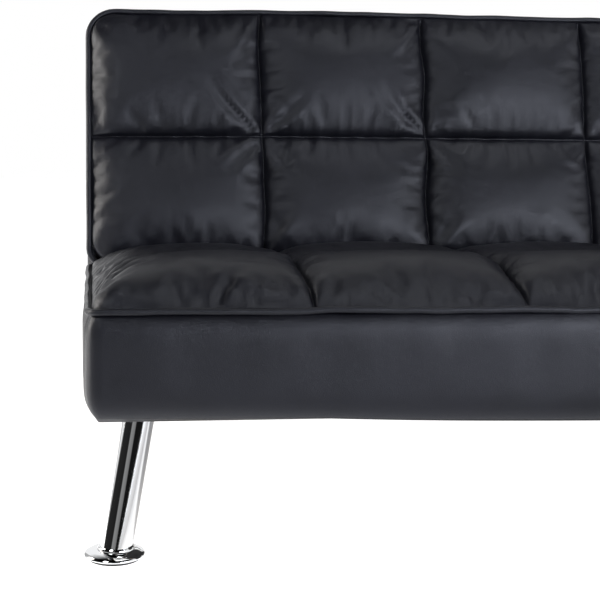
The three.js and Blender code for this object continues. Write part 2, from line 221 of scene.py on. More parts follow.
def makeGrainGroup():
    # pebbled grain cells with fine creases between them, and slow patches of wear
    group, inside, outside = groupWith("leatherGrain", [
        ("Place", "INPUT", "NodeSocketVector", None),
        ("Cell Scale", "INPUT", "NodeSocketFloat", 700.0),
        ("Dark", "INPUT", "NodeSocketColor", (0.01, 0.01, 0.011, 1)),
        ("Light", "INPUT", "NodeSocketColor", (0.02, 0.02, 0.022, 1)),
        ("Color", "OUTPUT", "NodeSocketColor", None),
        ("Roughness", "OUTPUT", "NodeSocketFloat", None),
        ("Height", "OUTPUT", "NodeSocketFloat", None),
    ])
    place = inside.outputs["Place"]
    bend = noiseNode(group, place, 60.0, 2.0)
    shifted = group.nodes.new("ShaderNodeVectorMath")
    shifted.operation = "MULTIPLY_ADD"
    shifted.inputs[1].default_value = (0.004, 0.004, 0.004)
    group.links.new(bend.outputs["Color"], shifted.inputs[0])
    group.links.new(place, shifted.inputs[2])
    cells = group.nodes.new("ShaderNodeTexVoronoi")
    cells.feature = "DISTANCE_TO_EDGE"
    group.links.new(shifted.outputs["Vector"], cells.inputs["Vector"])
    group.links.new(inside.outputs["Cell Scale"], cells.inputs["Scale"])
    pebble = rangeNode(group, cells.outputs["Distance"], 0.0, 0.22)
    fine = noiseNode(group, place, 900.0, 3.0)
    height = mathNode(group, "MULTIPLY_ADD", fine.outputs["Fac"], 0.35)
    group.links.new(pebble, height.node.inputs[2])
    wear = noiseNode(group, place, 7.0, 5.0, 0.6)
    patches = rangeNode(group, wear.outputs["Fac"], 0.35, 0.65)
    colour = colourMix(group, patches, inside.outputs["Dark"], inside.outputs["Light"])
    group.links.new(colour, outside.inputs["Color"])
    group.links.new(rangeNode(group, wear.outputs["Fac"], 0.3, 0.7, 0.28, 0.37), outside.inputs["Roughness"])
    group.links.new(height, outside.inputs["Height"])
    return group


def makeWearGroup():
    # small scratches and cloudy patches for metal and rubber
    group, inside, outside = groupWith("surfaceWear", [
        ("Place", "INPUT", "NodeSocketVector", None),
        ("Scale", "INPUT", "NodeSocketFloat", 40.0),
        ("Smooth", "INPUT", "NodeSocketFloat", 0.2),
        ("Rough", "INPUT", "NodeSocketFloat", 0.4),
        ("Roughness", "OUTPUT", "NodeSocketFloat", None),
        ("Height", "OUTPUT", "NodeSocketFloat", None),
    ])
    cloud = noiseNode(group, inside.outputs["Place"], 40.0, 4.0)
    group.links.new(inside.outputs["Scale"], cloud.inputs["Scale"])
    mapped = rangeNode(group, cloud.outputs["Fac"], 0.3, 0.7)
    group.links.new(inside.outputs["Smooth"], mapped.node.inputs["To Min"])
    group.links.new(inside.outputs["Rough"], mapped.node.inputs["To Max"])
    fine = noiseNode(group, inside.outputs["Place"], 1500.0, 2.0)
    group.links.new(mapped, outside.inputs["Roughness"])
    group.links.new(fine.outputs["Fac"], outside.inputs["Height"])
    return group


def makeFibreGroup():
    # streaks along one direction, for timber grain and for spun cloth
    group, inside, outside = groupWith("fibreStreaks", [
        ("Place", "INPUT", "NodeSocketVector", None),
        ("Stretch", "INPUT", "NodeSocketVector", (0.05, 1.0, 1.0)),
        ("Scale", "INPUT", "NodeSocketFloat", 90.0),
        ("Dark", "INPUT", "NodeSocketColor", (0.3, 0.2, 0.1, 1)),
        ("Light", "INPUT", "NodeSocketColor", (0.6, 0.45, 0.25, 1)),
        ("Color", "OUTPUT", "NodeSocketColor", None),
        ("Height", "OUTPUT", "NodeSocketFloat", None),
    ])
    stretched = group.nodes.new("ShaderNodeVectorMath")
    stretched.operation = "MULTIPLY"
    group.links.new(inside.outputs["Place"], stretched.inputs[0])
    group.links.new(inside.outputs["Stretch"], stretched.inputs[1])
    streaks = noiseNode(group, stretched.outputs["Vector"], 90.0, 6.0, 0.6)
    group.links.new(inside.outputs["Scale"], streaks.inputs["Scale"])
    factor = rangeNode(group, streaks.outputs["Fac"], 0.35, 0.65)
    colour = colourMix(group, factor, inside.outputs["Dark"], inside.outputs["Light"])
    group.links.new(colour, outside.inputs["Color"])
    group.links.new(streaks.outputs["Fac"], outside.inputs["Height"])
    return group


grainGroup = makeGrainGroup()
wearGroup = makeWearGroup()
fibreGroup = makeFibreGroup()


leatherLook = {
    "dark": (0.0052, 0.0054, 0.0088),
    "light": (0.0088, 0.0090, 0.0140),
    "grainDepth": 0.0004,
    "grainStrength": 0.3,
    "tint": (0.86, 0.90, 1.0),  # of its gloss
}


def leatherMaterial(name, slotName):
    look = leatherLook
    material, tree, shader = newMaterial(name, slotName, look["dark"], 0.45)
    grain = addGroup(tree, grainGroup, Dark=(*look["dark"], 1), Light=(*look["light"], 1))
    tree.links.new(grain.outputs["Color"], shader.inputs["Base Color"])
    tree.links.new(grain.outputs["Roughness"], shader.inputs["Roughness"])
    normal = bumpNode(tree, grain.outputs["Height"], look["grainStrength"], look["grainDepth"])
    tree.links.new(normal, shader.inputs["Normal"])
    shader.inputs["Specular Tint"].default_value = (*look["tint"], 1)
    return material


def wornMaterial(name, slotName, colour, smooth, rough, metallic, depth):
    material, tree, shader = newMaterial(name, slotName, colour, rough, metallic)
    wear = addGroup(tree, wearGroup, Smooth=smooth, Rough=rough)
    tree.links.new(wear.outputs["Roughness"], shader.inputs["Roughness"])
    tree.links.new(bumpNode(tree, wear.outputs["Height"], 0.2, depth), shader.inputs["Normal"])
    return material


def fibreMaterial(name, slotName, dark, light, stretch, scale, depth, roughness):
    material, tree, shader = newMaterial(name, slotName, dark, roughness)
    fibre = addGroup(tree, fibreGroup, Dark=(*dark, 1), Light=(*light, 1), Stretch=stretch, Scale=scale)
    tree.links.new(fibre.outputs["Color"], shader.inputs["Base Color"])
    tree.links.new(bumpNode(tree, fibre.outputs["Height"], 0.4, depth), shader.inputs["Normal"])
    return material


leather = leatherMaterial("fauxLeather", "faux_leather")
cushionLeather = leatherMaterial("cushionLeather", "cushion_leather")
chrome = wornMaterial("chromePlate", "chrome", (0.86, 0.87, 0.88), 0.03, 0.07, 1.0, 0.00001)
zincSteel = wornMaterial("zincSteel", "zinc_steel", (0.55, 0.56, 0.57), 0.28, 0.45, 1.0, 0.00003)
blackSteel = wornMaterial("blackSteel", "black_steel", (0.012, 0.012, 0.013), 0.38, 0.55, 0.0, 0.00008)
rubber = wornMaterial("blackRubber", "black_rubber", (0.012, 0.012, 0.012), 0.7, 0.85, 0.0, 0.0001)
foam = wornMaterial("foam", "foam", (0.68, 0.62, 0.36), 0.85, 0.95, 0.0, 0.0008)
timber = fibreMaterial(
    "pineTimber", "timber", (0.36, 0.21, 0.09), (0.62, 0.43, 0.22), (0.05, 1.0, 1.0), 90.0, 0.0003, 0.7
)
dustCloth = fibreMaterial(
    "dustCloth", "dust_cloth", (0.010, 0.010, 0.011), (0.022, 0.022, 0.024), (0.4, 1.0, 1.0), 700.0,
    0.0003, 0.9,
)
webbing = fibreMaterial(
    "webbing", "webbing", (0.05, 0.04, 0.03), (0.12, 0.10, 0.07), (1.0, 1.0, 1.0), 500.0, 0.0005, 0.85
)
byFinish = {m["slotName"]: m for m in (
    leather, cushionLeather, chrome, zincSteel, blackSteel, rubber, foam, timber, dustCloth, webbing
)}
edgeSpec = {"weld": 0.00002, "sharpAngle": 38}
for part in frame["record"]["subparts"]:
    node = bpy.data.objects[part["node"]]
    node.data.materials.clear()
    node.data.materials.append(byFinish[part["material_slot"]])
    node.data.shade_smooth()
    weld = node.modifiers.new("weld", "WELD")
    weld.merge_threshold = edgeSpec["weld"]
    split = node.modifiers.new("sharpEdges", "EDGE_SPLIT")
    split.split_angle = math.radians(edgeSpec["sharpAngle"])
print("materials made")


def edgeRise(distance, reach):
    # 0 on the piping and 1 from reach inwards, rising steeply at first
    t = np.clip(distance / reach, 0, 1)
    return np.sqrt(1 - (1 - t) ** 2)


def lineRise(distance, reach):
    # the dome beside a seam, 0 on it and 1 half way to the next
    t = np.clip(distance / reach, 0, 1)
    return 1 - (1 - t) ** 2.2


def cornerDistance(x, y, low, high, radius):
    # signed distance inside a rounded rectangle
    half = ((high[0] - low[0]) / 2, (high[1] - low[1]) / 2)
    qx = np.abs(x - (low[0] + high[0]) / 2) - (half[0] - radius)
    qy = np.abs(y - (low[1] + high[1]) / 2) - (half[1] - radius)
    outside = np.hypot(np.maximum(qx, 0), np.maximum(qy, 0))
    return -(outside + np.minimum(np.maximum(qx, qy), 0) - radius)


def roundedGrid(low, high, radius, across, along):
    # a grid over a rectangle whose outer lines are pulled in round its corners
    xs = np.linspace(low[0], high[0], across)
    ys = np.linspace(low[1], high[1], along)
    x, y = np.meshgrid(xs, ys)
    midX, midY = (low[0] + high[0]) / 2, (low[1] + high[1]) / 2
    halfX, halfY = (high[0] - low[0]) / 2, (high[1] - low[1]) / 2
    nearX = np.clip((np.abs(x - midX) - (halfX - radius)) / radius, 0, 1)
    nearY = np.clip((np.abs(y - midY) - (halfY - radius)) / radius, 0, 1)
    x = midX + np.sign(x - midX) * (np.abs(x - midX) - radius * nearX * (1 - np.sqrt(1 - nearY ** 2 / 2)))
    y = midY + np.sign(y - midY) * (np.abs(y - midY) - radius * nearY * (1 - np.sqrt(1 - nearX ** 2 / 2)))
    return x, y


def tuftedSheet(spec):
    # the cover's top before it is blown up, as grid arrays x, y, z, and the seam mask
    low, high = spec["low"], spec["high"]
    perColumn, perRow = spec["perColumn"], spec["perRow"]
    across, along = columns * perColumn + 1, rows * perRow + 1
    x, y = roundedGrid(low, high, spec["corner"], across, along)
    i, j = np.meshgrid(np.arange(across), np.arange(along))
    seamX = (i % perColumn == 0) & (i > 0) & (i < across - 1)
    seamY = (j % perRow == 0) & (j > 0) & (j < along - 1)
    edge = (i == 0) | (j == 0) | (i == across - 1) | (j == along - 1)
    fromEdge = np.maximum(cornerDistance(x, y, low, high, spec["corner"]), 0)
    columnWidth = (high[0] - low[0]) / columns
    rowDepth = (high[1] - low[1]) / rows
    toColumn = np.abs((i % perColumn) / perColumn - 0.5)
    toRow = np.abs((j % perRow) / perRow - 0.5)
    fromColumn = (0.5 - toColumn) * columnWidth
    fromRow = (0.5 - toRow) * rowDepth
    fromColumn = np.where((i < perColumn / 2) | (i > across - 1 - perColumn / 2), 1.0, fromColumn)
    fromRow = np.where((j < perRow / 2) | (j > along - 1 - perRow / 2), 1.0, fromRow)
    toRear = np.clip((y - (low[1] + high[1]) / 2) / rowDepth, 0, 1)
    base = spec["seamHeight"] * edgeRise(fromEdge, spec["edgeReach"])
    base *= 1 - spec["rearDrop"] * toRear * (2 - toRear)
    dome = lineRise(fromColumn, spec["columnReach"]) * lineRise(fromRow, spec["rowReach"])
    dome *= edgeRise(fromEdge, spec["edgeReach"])
    dip = spec["rowDip"] * np.exp(-((fromRow / spec["rowDipReach"]) ** 2))
    z = base + spec["puff"] * dome - dip * edgeRise(fromEdge, spec["edgeReach"])
    wobble = np.zeros_like(x)
    for a in range(along):
        for b in range(across):
            k = round(b / perColumn)
            fade = max(0.0, 1 - abs(b - k * perColumn) / (perColumn * 0.4))
            if 0 < k < columns:
                wobble[a, b] = spec["wobble"] * fade * softNoise(k * 9.1, y[a, b], spec["seed"], 0.09)
    calm = np.clip(np.minimum(np.minimum(fromColumn, fromRow), fromEdge) / spec["gatherReach"], 0, 1)
    return x + wobble, y, z, seamX | seamY | edge, calm.ravel()


def blowUp(obj, pins, calm, spec):
    # the fabric is cut a little large and inflated between its fixed seams
    group = obj.vertex_groups.new(name="pins")
    group.add([int(k) for k in pins], 1.0, "REPLACE")
    middle = obj.vertex_groups.new(name="smoothMiddle")
    for k, weight in enumerate(calm):
        middle.add([k], float(weight), "REPLACE")
    cloth = obj.modifiers.new("fabric", "CLOTH")
    settings = cloth.settings
    settings.quality = 5
    settings.mass = spec["clothMass"]
    settings.tension_stiffness = spec["tension"]
    settings.compression_stiffness = spec["tension"]
    settings.shear_stiffness = spec["tension"] * 0.5
    settings.bending_stiffness = spec["bending"]
    settings.tension_damping = 8
    settings.compression_damping = 8
    settings.shear_damping = 8
    settings.bending_damping = 0.6
    settings.air_damping = 2
    settings.vertex_group_mass = "pins"
    settings.effector_weights.gravity = spec["gravityShare"]
    settings.use_pressure = True
    settings.uniform_pressure_force = spec["pressure"]
    settings.vertex_group_shrink = "smoothMiddle"
    settings.shrink_min = -spec["gather"]
    settings.shrink_max = -spec["excess"]
    cloth.collision_settings.use_collision = False
    cloth.collision_settings.use_self_collision = False
    cloth.point_cache.frame_start = 1
    cloth.point_cache.frame_end = spec["frames"]
    scene.gravity = spec["gravity"]
    for number in range(1, spec["frames"] + 1):
        scene.frame_set(number)
    applyModifiers(obj)
    scene.frame_set(1)
    obj.vertex_groups.clear()


def foldShift(x, y, fold):
    # height of one fold, a valley with a ridge beside it, tapering off at both ends
    (ax, ay), (bx, by) = fold["start"], fold["end"]
    dx, dy = bx - ax, by - ay
    long = math.hypot(dx, dy)
    t = ((x - ax) * dx + (y - ay) * dy) / long ** 2
    side = ((x - ax) * dy - (y - ay) * dx) / long
    side = side + fold.get("bow", 0.0) * (1 - (2 * t - 1) ** 2)
    taper = np.clip(t / 0.12, 0, 1) * np.clip((1 - t) / 0.45, 0, 1)
    width = fold["width"] * (0.6 + 0.8 * np.clip(t, 0, 1))
    valley = -np.exp(-((side / width) ** 2))
    ridge = 0.8 * np.exp(-(((side - 1.7 * width) / (1.1 * width)) ** 2))
    second = 0.4 * np.exp(-(((side + 1.8 * width) / (1.2 * width)) ** 2))
    return fold["depth"] * taper * (valley + ridge + second)


def puckers(x, y, spec):
    # small folds that start on each seam and die away from it
    low, high = spec["low"], spec["high"]
    columnWidth = (high[0] - low[0]) / columns
    rowDepth = (high[1] - low[1]) / rows
    height = np.zeros_like(x)
    reach = spec["puckerReach"]
    for k in range(1, columns):
        away = np.abs(x - (low[0] + k * columnWidth))
        near = np.nonzero(away < 3 * reach)
        for a in zip(*near):
            v = softNoise(x[a] * 0.28, y[a], 3.7 * k, spec["puckerSize"])
            height[a] += spec["puckerDepth"] * math.exp(-away[a] / reach) * v
    for k in range(1, rows):
        away = np.abs(y - (low[1] + k * rowDepth))
        near = np.nonzero(away < 3 * reach)
        for a in zip(*near):
            v = softNoise(x[a], y[a] * 0.28, 11.3 + k, spec["puckerSize"])
            height[a] += spec["puckerDepth"] * math.exp(-away[a] / reach) * v
    edge = np.maximum(cornerDistance(x, y, low, high, spec["corner"]), 0)
    near = np.nonzero(edge < 3 * spec["edgePuckerReach"])
    for a in zip(*near):
        sideways = min(x[a] - low[0], high[0] - x[a]) < min(y[a] - low[1], high[1] - y[a])
        px, py = (x[a] * 0.25, y[a]) if sideways else (x[a], y[a] * 0.25)
        t = edge[a] / spec["edgePuckerReach"]
        v = softNoise(px, py, 23.9, spec["edgePuckerSize"])
        height[a] += spec["edgePuckerDepth"] * t * math.exp(1 - t) * v
    return height


def droopEnds(obj):
    # the back's upper corners sink a little, x across and y up the slab
    for v in obj.data.vertices:
        toEnd = min(1.0, max(0.0, (abs(v.co.x) - droopSpec["from"]) / droopSpec["reach"]))
        height = max(0.0, v.co.y - slabBottom) / (slabTop - slabBottom)
        v.co.y -= droopSpec["depth"] * toEnd * toEnd * (3 - 2 * toEnd) * height


def tuftedCushion(name, spec, place, body, nodes):
    x, y, z, fixed, calm = tuftedSheet(spec)
    along, across = x.shape
    points = np.stack([x.ravel(), y.ravel(), z.ravel()], axis=1)
    obj = meshObject(name, points, gridFaces(across, along), cushionLeather)
    blowUp(obj, np.flatnonzero(fixed.ravel()), calm, spec)
    flat = np.array([v.co for v in obj.data.vertices]).reshape(along, across, 3)
    fine, columnPlaces, rowPlaces = refined(flat, spec)
    fx, fy, fz = fine[..., 0], fine[..., 1], fine[..., 2]
    fromEdge = np.maximum(cornerDistance(fx, fy, spec["low"], spec["high"], spec["corner"]), 0)
    edgeFade = edgeRise(fromEdge, spec["edgeCalm"])
    extra = puckers(fx, fy, spec)
    for fold in spec["folds"]:
        extra = extra + foldShift(fx, fy, fold)
    fz = fz + (extra - seamGroove(columnPlaces, rowPlaces, spec)) * edgeFade
    closeUnderneath(obj, fx, fy, fz, spec["depthBelow"], cushionLeather)
    if body == "back":
        droopEnds(obj)
    obj.data.transform(place)
    obj.data.update()
    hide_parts(*nodes)
    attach(obj, body)
    print(name, "made,", len(obj.data.polygons), "faces")


def linePlaces(periods, count):
    # fractional grid lines, closer together beside each seam and each edge
    near = [0.0, 0.2, 0.5]
    places = []
    for k in range(periods):
        inner = np.arange(1.0, count - 0.99, 1.0)
        places += [k * count + v for v in (*near, *inner, *(count - v for v in reversed(near[1:])))]
    return np.array(places + [periods * count])


def sampled(grid, places):
    # cubic blending of grid rows at fractional places
    padded = np.concatenate([2 * grid[:1] - grid[1:2], grid, 2 * grid[-1:] - grid[-2:-1]])
    k = np.minimum(places.astype(int), len(grid) - 2)
    t = (places - k).reshape(-1, 1, 1)
    p0, p1, p2, p3 = padded[k], padded[k + 1], padded[k + 2], padded[k + 3]
    curve = (2 * p0 - 5 * p1 + 4 * p2 - p3) * t ** 2 + (3 * p1 - p0 - 3 * p2 + p3) * t ** 3
    return 0.5 * (2 * p1 + (p2 - p0) * t + curve)


def refined(grid, spec):
    rowPlaces = linePlaces(rows, spec["perRow"])
    columnPlaces = linePlaces(columns, spec["perColumn"])
    finer = sampled(grid, rowPlaces)
    finer = np.swapaxes(sampled(np.swapaxes(finer, 0, 1), columnPlaces), 0, 1)
    return finer, columnPlaces, rowPlaces


def seamGroove(columnPlaces, rowPlaces, spec):
    # the stitched line itself, one narrow valley for each seam
    columnStep = (spec["high"][0] - spec["low"][0]) / (columns * spec["perColumn"])
    rowStep = (spec["high"][1] - spec["low"][1]) / (rows * spec["perRow"])
    nearColumn = np.clip(np.round(columnPlaces / spec["perColumn"]), 1, columns - 1) * spec["perColumn"]
    nearRow = np.clip(np.round(rowPlaces / spec["perRow"]), 1, rows - 1) * spec["perRow"]
    toX = np.abs(columnPlaces - nearColumn) * columnStep
    toY = np.abs(rowPlaces - nearRow) * rowStep
    away = np.minimum(toX[None, :], toY[:, None])
    return spec["groove"] * np.exp(-away / spec["grooveReach"])


def closeUnderneath(obj, x, y, z, depth, material):
    # the top, and a flat underside that closes it
    along, across = x.shape
    top = np.stack([x.ravel(), y.ravel(), z.ravel()], axis=1)
    index = np.arange(along * across).reshape(along, across)
    loop = np.concatenate([index[0, :], index[1:, -1], index[-1, -2::-1], index[-2:0:-1, 0]])
    under = top[loop].copy()
    under[:, 2] = -depth
    start = len(top)
    count = len(loop)
    faces = gridFaces(across, along)
    for k in range(count):
        n = (k + 1) % count
        faces.append((int(loop[n]), int(loop[k]), start + k, start + n))
    faces.append(tuple(start + k for k in reversed(range(count))))
    mesh = bpy.data.meshes.new(obj.name + "Final")
    mesh.from_pydata([tuple(p) for p in np.concatenate([top, under])], [], faces)
    mesh.update()
    mesh.materials.append(material)
    mesh.shade_smooth()
    mesh.polygons[-1].use_smooth = False
    obj.data = mesh


seatSpec = {
    "low": (seatLeft + 0.002, seatFront + 0.002),
    "high": (seatRight - 0.002, seatRear - 0.002),
    "corner": 0.030,
    "perColumn": 42,
    "perRow": 36,
    "seamHeight": 0.048,
    "rearDrop": 0.38,
    "puff": 0.006,
    "edgeReach": 0.190,
    "columnReach": 0.140,
    "rowReach": 0.120,
    "rowDip": 0.006,
    "rowDipReach": 0.045,
    "wobble": 0.008,
    "seed": 2.0,
    "depthBelow": 0.002,
    "clothMass": 0.05,
    "tension": 30.0,
    "bending": 0.15,
    "pressure": 20.0,
    "gravityShare": 0.02,
    "excess": 0.020,
    "gather": 0.038,
    "gatherReach": 0.050,
    "frames": 24,
    "gravity": (0, 0, -9.81),
    "puckerDepth": 0.0060,
    "puckerSize": 0.016,
    "puckerReach": 0.017,
    "edgePuckerDepth": 0.0045,
    "edgePuckerSize": 0.040,
    "edgePuckerReach": 0.030,
    "groove": 0.0100,
    "grooveReach": 0.0045,
    "edgeCalm": 0.012,  # folds and seams die out this far from the piping
    "fill": 0.75,
    "folds": [
        # from the left end's piping, inwards and back
        {"start": (-0.893, -0.435), "end": (-0.800, -0.330), "width": 0.0070, "depth": 0.0050, "bow": 0.008},
        {"start": (-0.893, -0.395), "end": (-0.790, -0.290), "width": 0.0080, "depth": 0.0060, "bow": 0.010},
        {"start": (-0.893, -0.350), "end": (-0.810, -0.260), "width": 0.0070, "depth": 0.0050, "bow": 0.008},
        {"start": (-0.893, -0.300), "end": (-0.800, -0.215), "width": 0.0075, "depth": 0.0050, "bow": 0.006},
        {"start": (-0.893, -0.160), "end": (-0.790, -0.090), "width": 0.0080, "depth": 0.0050, "bow": 0.006},
        # pleats just inside the front piping
        {"start": (-0.730, -0.462), "end": (-0.690, -0.400), "width": 0.0080, "depth": 0.0040},
        {"start": (-0.640, -0.462), "end": (-0.720, -0.425), "width": 0.0060, "depth": 0.0040, "bow": 0.010},
        {"start": (-0.480, -0.462), "end": (-0.530, -0.420), "width": 0.0070, "depth": 0.0040, "bow": 0.006},
        {"start": (-0.345, -0.462), "end": (-0.400, -0.425), "width": 0.0060, "depth": 0.0040, "bow": 0.008},
        {"start": (-0.200, -0.462), "end": (-0.170, -0.405), "width": 0.0070, "depth": 0.0040},
    ],
}
backSpec = dict(
    seatSpec,
    low=(seatLeft + 0.002, slabBottom + 0.002),
    high=(seatRight - 0.002, slabTop - 0.002),
    corner=0.046,
    perRow=34,
    seamHeight=0.012,
    rearDrop=0.0,
    puff=0.008,
    edgeReach=0.060,
    columnReach=0.150,
    rowReach=0.115,
    rowDip=0.0,
    seed=5.0,
    gravity=(0, -9.81 * math.cos(lean), -9.81 * math.sin(lean)),
    puckerDepth=0.0035,
    puckerSize=0.022,
    edgePuckerDepth=0.0030,
    fill=0.7,
    folds=[
        # from the first crossing
        {"start": (-0.604, 0.256), "end": (-0.695, 0.350), "width": 0.0070, "depth": 0.0060, "bow": 0.008},
        {"start": (-0.596, 0.256), "end": (-0.520, 0.325), "width": 0.0075, "depth": 0.0050, "bow": -0.006},
        {"start": (-0.604, 0.244), "end": (-0.670, 0.175), "width": 0.0090, "depth": 0.0045},
        {"start": (-0.596, 0.244), "end": (-0.535, 0.165), "width": 0.0090, "depth": 0.0045},
        # from the second crossing
        {"start": (-0.304, 0.256), "end": (-0.385, 0.345), "width": 0.0080, "depth": 0.0050, "bow": 0.008},
        {"start": (-0.296, 0.244), "end": (-0.240, 0.175), "width": 0.0090, "depth": 0.0045},
        # from the feet and heads of the upright seams
        {"start": (-0.604, 0.035), "end": (-0.555, 0.120), "width": 0.0090, "depth": 0.0045},
        {"start": (-0.304, 0.035), "end": (-0.255, 0.115), "width": 0.0090, "depth": 0.0045},
        {"start": (-0.606, 0.450), "end": (-0.650, 0.370), "width": 0.0080, "depth": 0.0045, "bow": 0.006},
        {"start": (-0.306, 0.460), "end": (-0.350, 0.385), "width": 0.0080, "depth": 0.0050, "bow": 0.006},
    ],
)
tuftedCushion("seatCover", seatSpec, Matrix.Translation((0, 0, seatLine)), "seat", ["seat_cushion"])
tuftedCushion("backCover", backSpec, slab @ Matrix.Translation((0, 0, slabFront)), "back", ["back_cushion"])


def arcPoints(cx, cy, radius, start, steps):
    # a quarter turn anticlockwise
    turns = [math.radians(start + 90 * k / steps) for k in range(steps + 1)]
    return [(cx + radius * math.cos(turn), cy + radius * math.sin(turn)) for turn in turns]


def roundedPath(low, high, radius, step):
    # points round a rounded rectangle, anticlockwise from the middle of its low y side
    corners = [
        ((high[0] - radius[0], low[1] + radius[0]), radius[0], -90),
        ((high[0] - radius[1], high[1] - radius[1]), radius[1], 0),
        ((low[0] + radius[1], high[1] - radius[1]), radius[1], 90),
        ((low[0] + radius[0], low[1] + radius[0]), radius[0], 180),
    ]
    outline = [((low[0] + high[0]) / 2, low[1])]
    for (cx, cy), r, start in corners:
        outline += arcPoints(cx, cy, r, start, 8)
    return evenly(outline + [outline[0]], step)[:-1]


def evenly(points, step):
    # the same line with even spacing
    p = np.array(points, float)
    lengths = np.concatenate([[0], np.cumsum(np.linalg.norm(np.diff(p, axis=0), axis=1))])
    count = max(2, int(round(lengths[-1] / step)) + 1)
    at = np.linspace(0, lengths[-1], count)
    return np.stack([np.interp(at, lengths, p[:, k]) for k in range(p.shape[1])], axis=1)


def outwards(path, closed):
    # unit normals to the right of a path in the plane
    if closed:
        tangent = np.roll(path, -1, axis=0) - np.roll(path, 1, axis=0)
    else:
        tangent = np.gradient(path, axis=0)
    tangent /= np.linalg.norm(tangent, axis=1)[:, None]
    return np.stack([tangent[:, 1], -tangent[:, 0]], axis=1)


def band(name, path, profile, material, shape):
    # sweeps a closed profile of (out, up) points along an open path, shape(x, y, out, up) adds detail
    normals = outwards(path, False)
    count, around = len(path), len(profile)
    points = []
    for (x, y), (nx, ny) in zip(path, normals):
        for out, up in profile:
            out, up = shape(x, y, out, up)
            points.append((x + nx * out, y + ny * out, up))
    faces = []
    for k in range(count - 1):
        for m in range(around):
            o = (m + 1) % around
            faces.append((k * around + m, k * around + o, (k + 1) * around + o, (k + 1) * around + m))
    faces.append(tuple(reversed(range(around))))
    faces.append(tuple((count - 1) * around + m for m in range(around)))
    obj = meshObject(name, points, faces, material)
    repair = bmesh.new()
    repair.from_mesh(obj.data)
    bmesh.ops.recalc_face_normals(repair, faces=repair.faces)
    repair.to_mesh(obj.data)
    repair.free()
    return obj


def bulgeProfile(bottom, top, thick, bulge, steps):
    # outer face from bottom to top, rounded over at both ends, then the inner face
    outer = []
    for k in range(steps + 1):
        t = k / steps
        full = max(0.0, 1 - (abs(2 * t - 1)) ** 5)
        outer.append((bulge * full - 0.004 * (1 - full), bottom + (top - bottom) * t))
    inner = [(-thick, top - 0.004), (-thick, (bottom + top) / 2), (-thick, bottom - 0.0015)]
    return outer + inner


seatBorderSpec = {
    "bulge": 0.009,
    "thick": 0.011,
    "steps": 30,  # up the face
    "step": 0.006,  # along it
    "corner": 0.014,
    "endLift": 0.0055,  # the cover is pulled up at the corners
    "middleSag": 0.0100,
    "dent": 0.0035,
}


def seatBorderShape(x, y, out, up):
    spec = seatBorderSpec
    t = (up - seatBottom) / (seatLine - seatBottom)
    fromEnd = min(1.0, abs(abs(x) - seatRight) / 0.5)
    onFront = 1.0 if y < seatFront + 0.03 else 0.0
    lift = spec["endLift"] * (1 - fromEnd) ** 1.5
    sag = spec["middleSag"] * (1 - min(1.0, abs(x) / 0.6) ** 2) * onFront
    if out > -0.009:
        up = up + (lift - sag) * (1 - t)
        wave = softNoise(x, y, up * 0.6, 0.11) + 0.5 * softNoise(x + 3, y, up * 0.5, 0.05)
        low = 0.35 + 0.65 * t
        out = out + spec["dent"] * wave * low * min(1.0, 4 * t * (1 - t) + 0.15)
        seam = math.exp(-((x - math.copysign(seatRight, x)) / 0.004) ** 2) if onFront else 0.0
        out = out - 0.002 * seam
    return out, up


def makeSeatBorder():
    spec = seatBorderSpec
    corner = spec["corner"]
    level = seatFront + corner
    line = [(seatLeft, seatRear), (seatLeft, level + 0.002)]
    line += arcPoints(seatLeft + corner, level, corner, 180, 6)[1:-1]
    line += [(seatLeft + corner, seatFront), (seatRight - corner, seatFront)]
    line += arcPoints(seatRight - corner, level, corner, 270, 6)[1:-1]
    line += [(seatRight, level + 0.002), (seatRight, seatRear)]
    path = evenly(line, spec["step"])
    top = seatLine - 0.0015
    profile = bulgeProfile(seatBottom, top, spec["thick"], spec["bulge"], spec["steps"])
    border = band("seatBorder", path, profile, leather, seatBorderShape)
    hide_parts("seat_front_panel", "seat_left_panel", "seat_right_panel")
    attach(border, "seat")


panelSpec = {"step": 0.012, "corner": 0.006, "turnIn": 0.004, "edgeReach": 0.012, "waveSize": 0.12}


def paddedPanel(name, low, high, thickness, bulge, place, body, nodes):
    # a flat upholstered panel, z outwards, its edges turned in
    spec = panelSpec
    across = max(8, int((high[0] - low[0]) / spec["step"]))
    along = max(8, int((high[1] - low[1]) / spec["step"]))
    x, y = roundedGrid(low, high, spec["corner"], across, along)
    fromEdge = np.maximum(cornerDistance(x, y, low, high, spec["corner"]), 0)
    rise = edgeRise(fromEdge, spec["edgeReach"])
    wave = np.array([[softNoise(a, b, 8.0, spec["waveSize"]) for a, b in zip(p, q)] for p, q in zip(x, y)])
    z = -spec["turnIn"] + (spec["turnIn"] + bulge * (1 + 0.5 * wave)) * rise
    obj = meshObject(name, np.stack([x.ravel(), y.ravel(), z.ravel()], axis=1), [], leather)
    closeUnderneath(obj, x, y, z, thickness, leather)
    obj.data.transform(place)
    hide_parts(*nodes)
    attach(obj, body)


def tube(name, path, radius, sides, material):
    # a round cord along a closed path in space
    count = len(path)
    points = []
    for k in range(count):
        tangent = (Vector(path[(k + 1) % count]) - Vector(path[k - 1])).normalized()
        side = tangent.cross(Vector((0, 0, 1))).normalized()
        top = side.cross(tangent)
        for m in range(sides):
            angle = 2 * math.pi * m / sides
            points.append(Vector(path[k]) + radius * (math.cos(angle) * side + math.sin(angle) * top))
    faces = []
    for k in range(count):
        n = (k + 1) % count
        for m in range(sides):
            o = (m + 1) % sides
            faces.append((k * sides + m, n * sides + m, n * sides + o, k * sides + o))
    return meshObject(name, points, faces, material)


